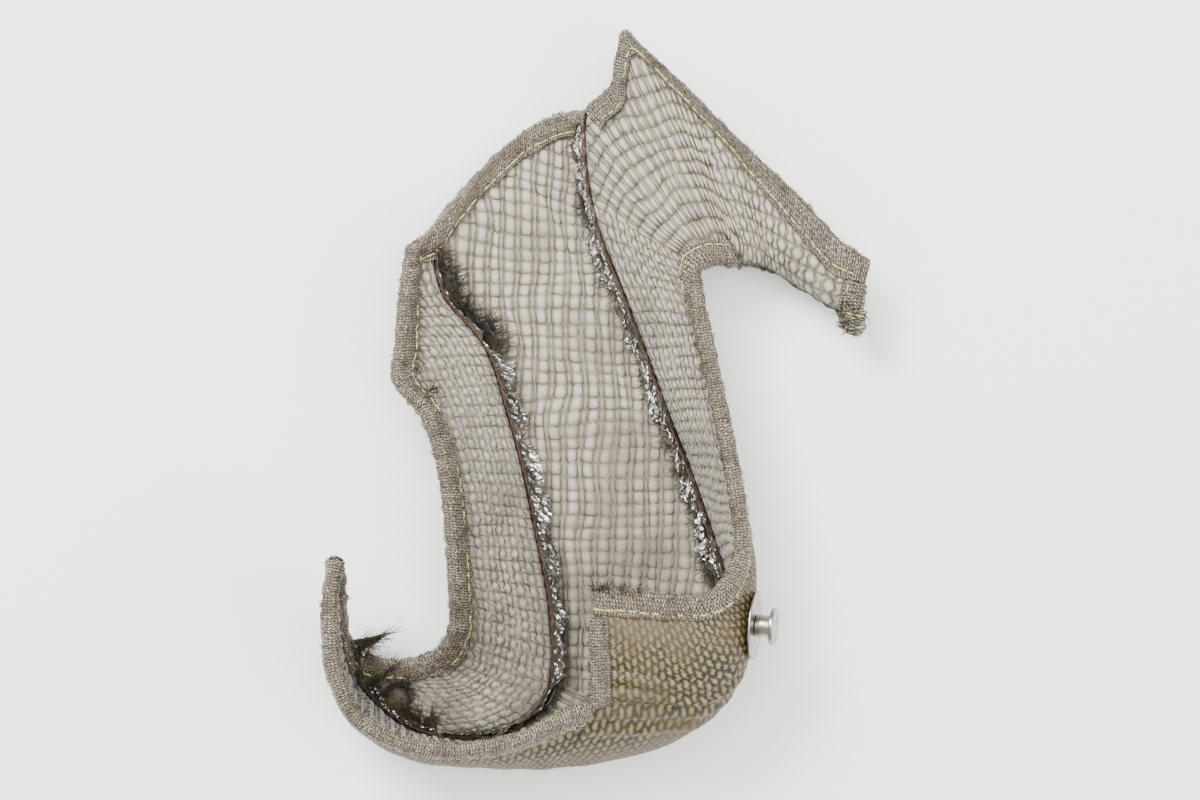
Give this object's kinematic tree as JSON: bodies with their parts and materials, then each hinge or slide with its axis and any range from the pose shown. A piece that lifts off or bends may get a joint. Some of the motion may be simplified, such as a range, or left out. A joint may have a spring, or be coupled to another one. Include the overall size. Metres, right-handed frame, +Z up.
{
  "type": "turbo heat blanket",
  "caption": "Quilted heat blanket for a turbine housing, lying open: a band between two C-shaped panels, edges bound in knitted wire, with one lacing anchor.",
  "frame": {"origin": "under the middle of the outline, on the surface it lies on", "axes": "+Z up, inside of the blanket up; +Y from the curled toe towards the top end and the flap"},
  "size_m": [0.2366, 0.3192, 0.0879],
  "materials": {
    "basalt_cloth": "plain-woven basalt fibre, olive gold, matt",
    "wool": "white insulation wool, soft and matt",
    "knitted_wire": "knitted stainless wire, grey-brown from heat",
    "wire_tape": "fine knitted wire tape, salt and pepper",
    "yellow_thread": "pale yellow aramid sewing thread",
    "red_thread": "red-brown sewing thread",
    "foil": "crinkled aluminium foil",
    "stainless": "turned and pressed stainless steel"
  },
  "bodies": {
    "root": {"band_outer_cloth": "basalt_cloth", "left_panel_outer_cloth": "basalt_cloth", "right_panel_outer_cloth": "basalt_cloth", "left_seam_allowance": "basalt_cloth", "right_seam_allowance": "basalt_cloth", "band_wool_batt": "wool", "left_panel_wool_batt": "wool", "right_panel_wool_batt": "wool", "band_wire_mesh": "knitted_wire", "left_panel_wire_mesh": "knitted_wire", "right_panel_wire_mesh": "knitted_wire", "left_rim_binding": "wire_tape", "top_end_binding": "wire_tape", "flap_edge_binding": "wire_tape", "flap_end_binding": "wire_tape", "right_rim_binding": "wire_tape", "lid_end_binding": "wire_tape", "toe_rim_binding": "wire_tape", "tab_edge_binding": "wire_tape", "tab_tip_binding": "wire_tape", "left_rim_topstitch": "yellow_thread", "top_end_topstitch": "yellow_thread", "flap_edge_topstitch": "yellow_thread", "right_rim_inner_topstitch": "yellow_thread", "right_rim_outer_topstitch": "yellow_thread", "toe_rim_topstitch": "yellow_thread", "left_seam_thread": "red_thread", "right_seam_thread": "red_thread", "left_seam_foil": "foil", "right_seam_foil": "foil", "anchor_base_plate": "stainless", "anchor_post": "stainless", "anchor_head": "stainless", "anchor_backing_washer": "stainless"}
  },
  "joints": []
}
